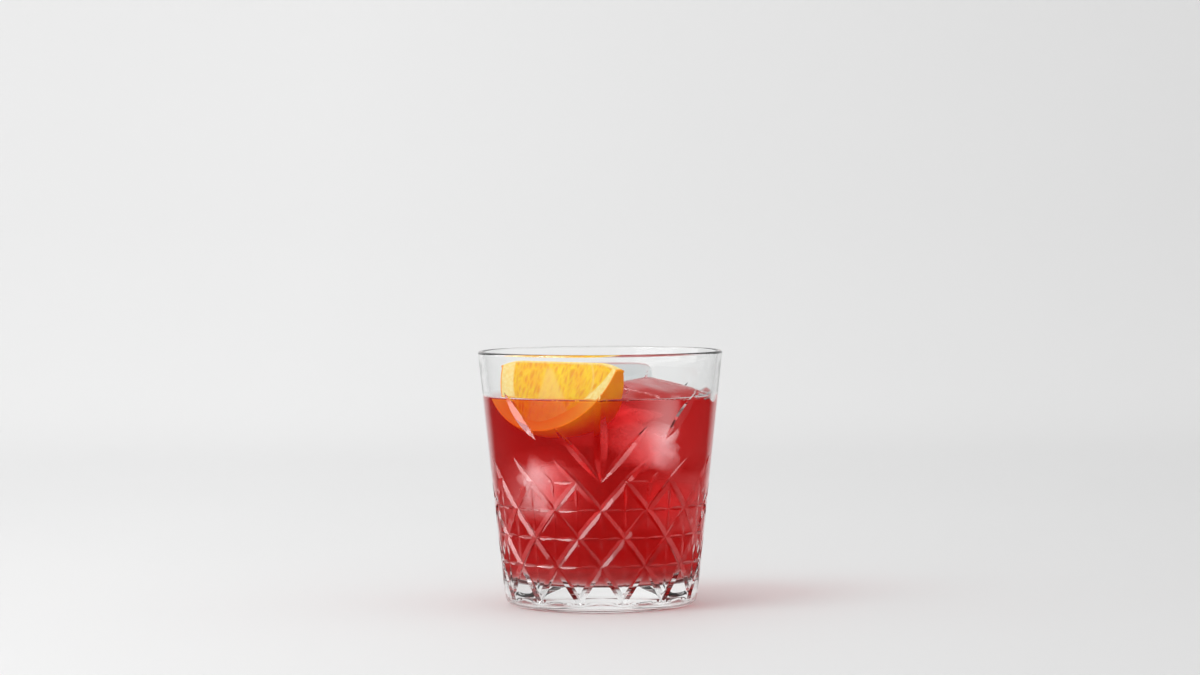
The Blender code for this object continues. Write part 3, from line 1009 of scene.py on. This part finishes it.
def make_wedge():
    """Cut faces with relief of juice sacs, pith and peel, and the attributes that colour them."""
    points, sides, angles, distance, start = wedge_grid(0.0, *WEDGE_STEPS)
    along = points[..., 0]
    on_face = (sides != 0)[None, :]
    # The membrane share also holds the painted sheen, a highlight painted into the flesh colour
    pith, peel, membrane_and_sheen = wedge_parts(along, distance, start, on_face)
    sac = juice_sacs(along, distance, sides, pith)
    relief = -VESICLE_RELIEF * (VESICLE_BASE_RELIEF + sac) * (1.0 - pith) * on_face
    outward_across = np.where(sides < 0, -np.cos(angles), np.cos(angles)) * (sides != 0)
    outward_up = np.where(sides < 0, -np.sin(angles), np.sin(angles)) * (sides != 0)
    points[..., 1] += relief * outward_across
    points[..., 2] += relief * outward_up

    level = WEDGE_MIDDLE.z - LIQUID_LEVEL
    soaked = smooth_step(-points[..., 2], level - SOAK, level)
    wedge = mesh_piece("orange_garnish", *placed_wedge(points), orange_material())
    for name, values, at_caps in (("sac", sac, 0.0), ("membrane_and_sheen", membrane_and_sheen, 0.0),
                                  ("pith", pith, 1.0), ("peel", peel, 1.0), ("soaked", soaked, 0.0)):
        attribute = wedge.data.attributes.new(name, "FLOAT", "POINT")
        attribute.data.foreach_set("value", np.append(values.ravel(), [at_caps, at_caps]))
    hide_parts("orange_wedge")


def surface_profile():
    """From the wall in to the middle of the drink's surface: set-in and climb of the meniscus."""
    return [(share * MENISCUS_WIDTH, MENISCUS_CLIMB * (1.0 - share) ** MENISCUS_POWER)
            for share in MENISCUS_SHARES]


def drink_is_bare(middles, normals):
    """The open surface: at the level or on the meniscus, and facing up."""
    return (middles[:, 2] > LIQUID_LEVEL - WALL_REACH) & (normals[:, 2] > SURFACE_UPWARD)


def drink_meets_ice(middles, normals):
    """Faces well inside the wall, above the floor's rounding and below the level."""
    radii = np.hypot(middles[:, 0], middles[:, 1])
    heights = middles[:, 2]
    within = radii < inner_cone(heights) - 2.0 * WALL_REACH
    above_floor = heights > FLOOR_HEIGHT + FLOOR_ROUNDING
    return within & above_floor & (heights < LIQUID_LEVEL - 0.5 * WALL_REACH)


def drink_rings():
    """The drink before it is cut, with its surface drawn up at the wall."""
    wall = [(inner_cone(height) + WALL_REACH, height)
            for height in np.linspace(FLOOR_HEIGHT + FLOOR_ROUNDING, LIQUID_LEVEL, DRINK_WALL_ROWS)[1:-1]]
    surface = [(inner_cone(LIQUID_LEVEL) + WALL_REACH - inset, LIQUID_LEVEL + climb)
               for inset, climb in surface_profile()]
    middle = [(radius, LIQUID_LEVEL) for radius in DRINK_SURFACE_RADII]
    profile = list(reversed(inner_profile(WALL_REACH))) + wall + surface + middle
    rings = turned_rings(profile, DRINK_SIDES)
    angles = np.arange(DRINK_SIDES) * 360.0 / DRINK_SIDES
    first_row = len(profile) - len(middle) - len(surface)
    for at_angle, height, width in SWELLS:
        off = (angles - at_angle + 180.0) % 360.0 - 180.0
        swell = height * np.exp(-(off / width) ** 2)
        for row, (_, climb) in enumerate(surface_profile(), start=first_row):
            rings[row, :, 2] += swell * climb / MENISCUS_CLIMB
    return rings


def make_drink(cubes):
    """The drink reaches just into the wall, and is cut round the ice and the orange."""
    material = drink_material()
    drink = mesh_piece("red_drink_body", *capped_rings(drink_rings()), material)

    cutters = [mesh_piece("ice_cutter", *ice_arrays(cube, -ICE_OVERLAP), material) for cube in cubes]
    cutter_rings = wedge_grid(-ICE_OVERLAP, *WEDGE_CUTTER_STEPS)[0]
    cutters.append(mesh_piece("wedge_cutter", *placed_wedge(cutter_rings), material))
    for cutter in cutters:
        cut = drink.modifiers.new(cutter.name, "BOOLEAN")
        cut.operation = "DIFFERENCE"
        cut.solver = "EXACT"
        cut.object = cutter
    apply_modifiers(drink)
    for cutter in cutters:
        bpy.data.objects.remove(cutter, do_unlink=True)
    drink.data.set_sharp_from_angle(angle=SMOOTH_ANGLE)
    mark_faces(drink, bare=drink_is_bare, sunk=drink_meets_ice)
    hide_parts("drink")


def apply_modifiers(piece):
    bpy.context.view_layer.update()
    result = piece.evaluated_get(bpy.context.evaluated_depsgraph_get())
    mesh = bpy.data.meshes.new_from_object(result)
    piece.modifiers.clear()
    piece.data = mesh


def make_bubbles():
    """Froth where the ice meets the wall on the right, and beads along the drink's edge."""
    rng = np.random.default_rng(FROTH_SEED)
    shape = bmesh.new()
    for index in range(FROTH_BUBBLES + FROTH_BEADS):
        if index < FROTH_BUBBLES:
            angle = math.radians(rng.normal(FROTH_ANGLE, FROTH_SPREAD))
            radius = 0.5 * MM * rng.uniform(*BUBBLE_SIZES)
            level = LIQUID_LEVEL + rng.uniform(*BUBBLE_HEIGHTS) * MM
            inset = rng.uniform(*BUBBLE_INSETS) * MM
        else:
            angle = math.radians(rng.uniform(-BEAD_REACH, BEAD_REACH))
            radius = 0.5 * MM * rng.uniform(*BEAD_SIZES)
            level = LIQUID_LEVEL + BEAD_HEIGHT * MM
            inset = 0.0
        from_axis = inner_cone(level) - radius * BUBBLE_CLEARANCE - inset
        place = Matrix.Translation((from_axis * math.sin(angle), -from_axis * math.cos(angle), level))
        bmesh.ops.create_icosphere(shape, subdivisions=2, radius=radius, matrix=place)
    bubbles = mesh_piece("froth_bubbles", *bmesh_arrays(shape), bpy.data.materials["wet_ice"])
    mark_faces(bubbles, bare=above_drink)


def make_stage():
    """A pale floor that sweeps up into a backdrop."""
    shape = bmesh.new()
    bend = SWEEP_BACK - SWEEP_RADIUS
    outline = [(SWEEP_FRONT, -SWEEP_DROP), (bend, -SWEEP_DROP)]
    for turn in np.linspace(0.0, 0.5 * math.pi, SWEEP_STEPS)[1:]:
        outline.append((bend + SWEEP_RADIUS * math.sin(turn),
                        SWEEP_RADIUS * (1.0 - math.cos(turn)) - SWEEP_DROP))
    outline.append((SWEEP_BACK, SWEEP_TOP))
    rows = [[shape.verts.new((side * SWEEP_HALF_WIDTH, y, z)) for y, z in outline] for side in (-1, 1)]
    for index in range(len(outline) - 1):
        shape.faces.new((rows[0][index], rows[1][index], rows[1][index + 1], rows[0][index + 1]))
    mesh = bpy.data.meshes.new("sweep")
    shape.to_mesh(mesh)
    shape.free()
    mesh.materials.append(stage_material())
    mesh.shade_smooth()
    floor = add_object("sweep", mesh)


def direction(left_front, elevation):
    """A unit vector. left_front is in degrees from straight left (0) round to the camera (90)."""
    azimuth, height = math.radians(left_front), math.radians(elevation)
    return Vector((-math.cos(azimuth) * math.cos(height), -math.sin(azimuth) * math.cos(height),
                   math.sin(height)))


def add_lamp(name, left_front, elevation, distance, width, height, radiance, only_mirrored):
    """A soft box aimed at the glass. One that is only mirrored makes highlights and lights nothing."""
    data = bpy.data.lights.new(name, "AREA")
    data.shape = "RECTANGLE"
    data.size = width
    data.size_y = height
    data.energy = radiance * math.pi * width * height
    lamp = add_object(name, data)
    lamp.location = LIGHT_AIM + direction(left_front, elevation) * distance
    lamp.rotation_euler = (LIGHT_AIM - lamp.location).to_track_quat("-Z", "Y").to_euler()
    lamp.visible_camera = False
    lamp.visible_transmission = False
    lamp.visible_diffuse = not only_mirrored


def make_light():
    """A soft key from the left and front, cards for the highlights, and an even pale room."""
    for lamp in LAMPS:
        add_lamp(*lamp)
    world = bpy.data.worlds.new("room")
    world.use_nodes = True
    nodes, links = world.node_tree.nodes, world.node_tree.links
    room = set_inputs(nodes["Background"], Color=(ROOM_LIGHT, ROOM_LIGHT, ROOM_LIGHT, 1.0))
    black = add_node(nodes, "ShaderNodeBackground", Strength=0.0)
    dark = darkened_share(nodes, links, "Generated")
    mix_shaders(nodes, links, dark, room.outputs["Background"], black.outputs["Background"],
                "World Output")
    bpy.context.scene.world = world


def make_camera():
    data = bpy.data.cameras.new("view")
    data.sensor_width = SENSOR_WIDTH
    data.lens = FOCAL_LENGTH_PX / IMAGE_WIDTH_PX * SENSOR_WIDTH
    data.clip_start = 0.01
    camera = add_object("view", data)
    camera.matrix_world = (Matrix.Translation(CAMERA_PLACE)
                           @ Matrix.Rotation(math.radians(90.0) - CAMERA_PITCH, 4, "X")
                           @ Matrix.Rotation(-CAMERA_ROLL, 4, "Z"))
    bpy.context.scene.camera = camera


def set_light_paths():
    """Enough turns for rays to cross every wall of glass, drink and ice."""
    scene = bpy.context.scene
    scene.view_settings.view_transform = "Standard"
    cycles = scene.cycles
    cycles.max_bounces = 32
    cycles.transmission_bounces = 32
    cycles.transparent_max_bounces = 96
    cycles.caustics_refractive = False
    cycles.caustics_reflective = False
    cycles.use_denoising = True


def main():
    make_camera()
    make_stage()
    make_light()
    set_light_paths()
    make_glass()
    cubes = make_ice()
    make_wedge()
    make_drink(cubes)
    make_bubbles()
    for piece in bpy.context.scene.objects:
        if piece.type == "MESH" and piece.name != "sweep" and piece.name not in frame["nodes"]:
            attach(piece, "root")


main()
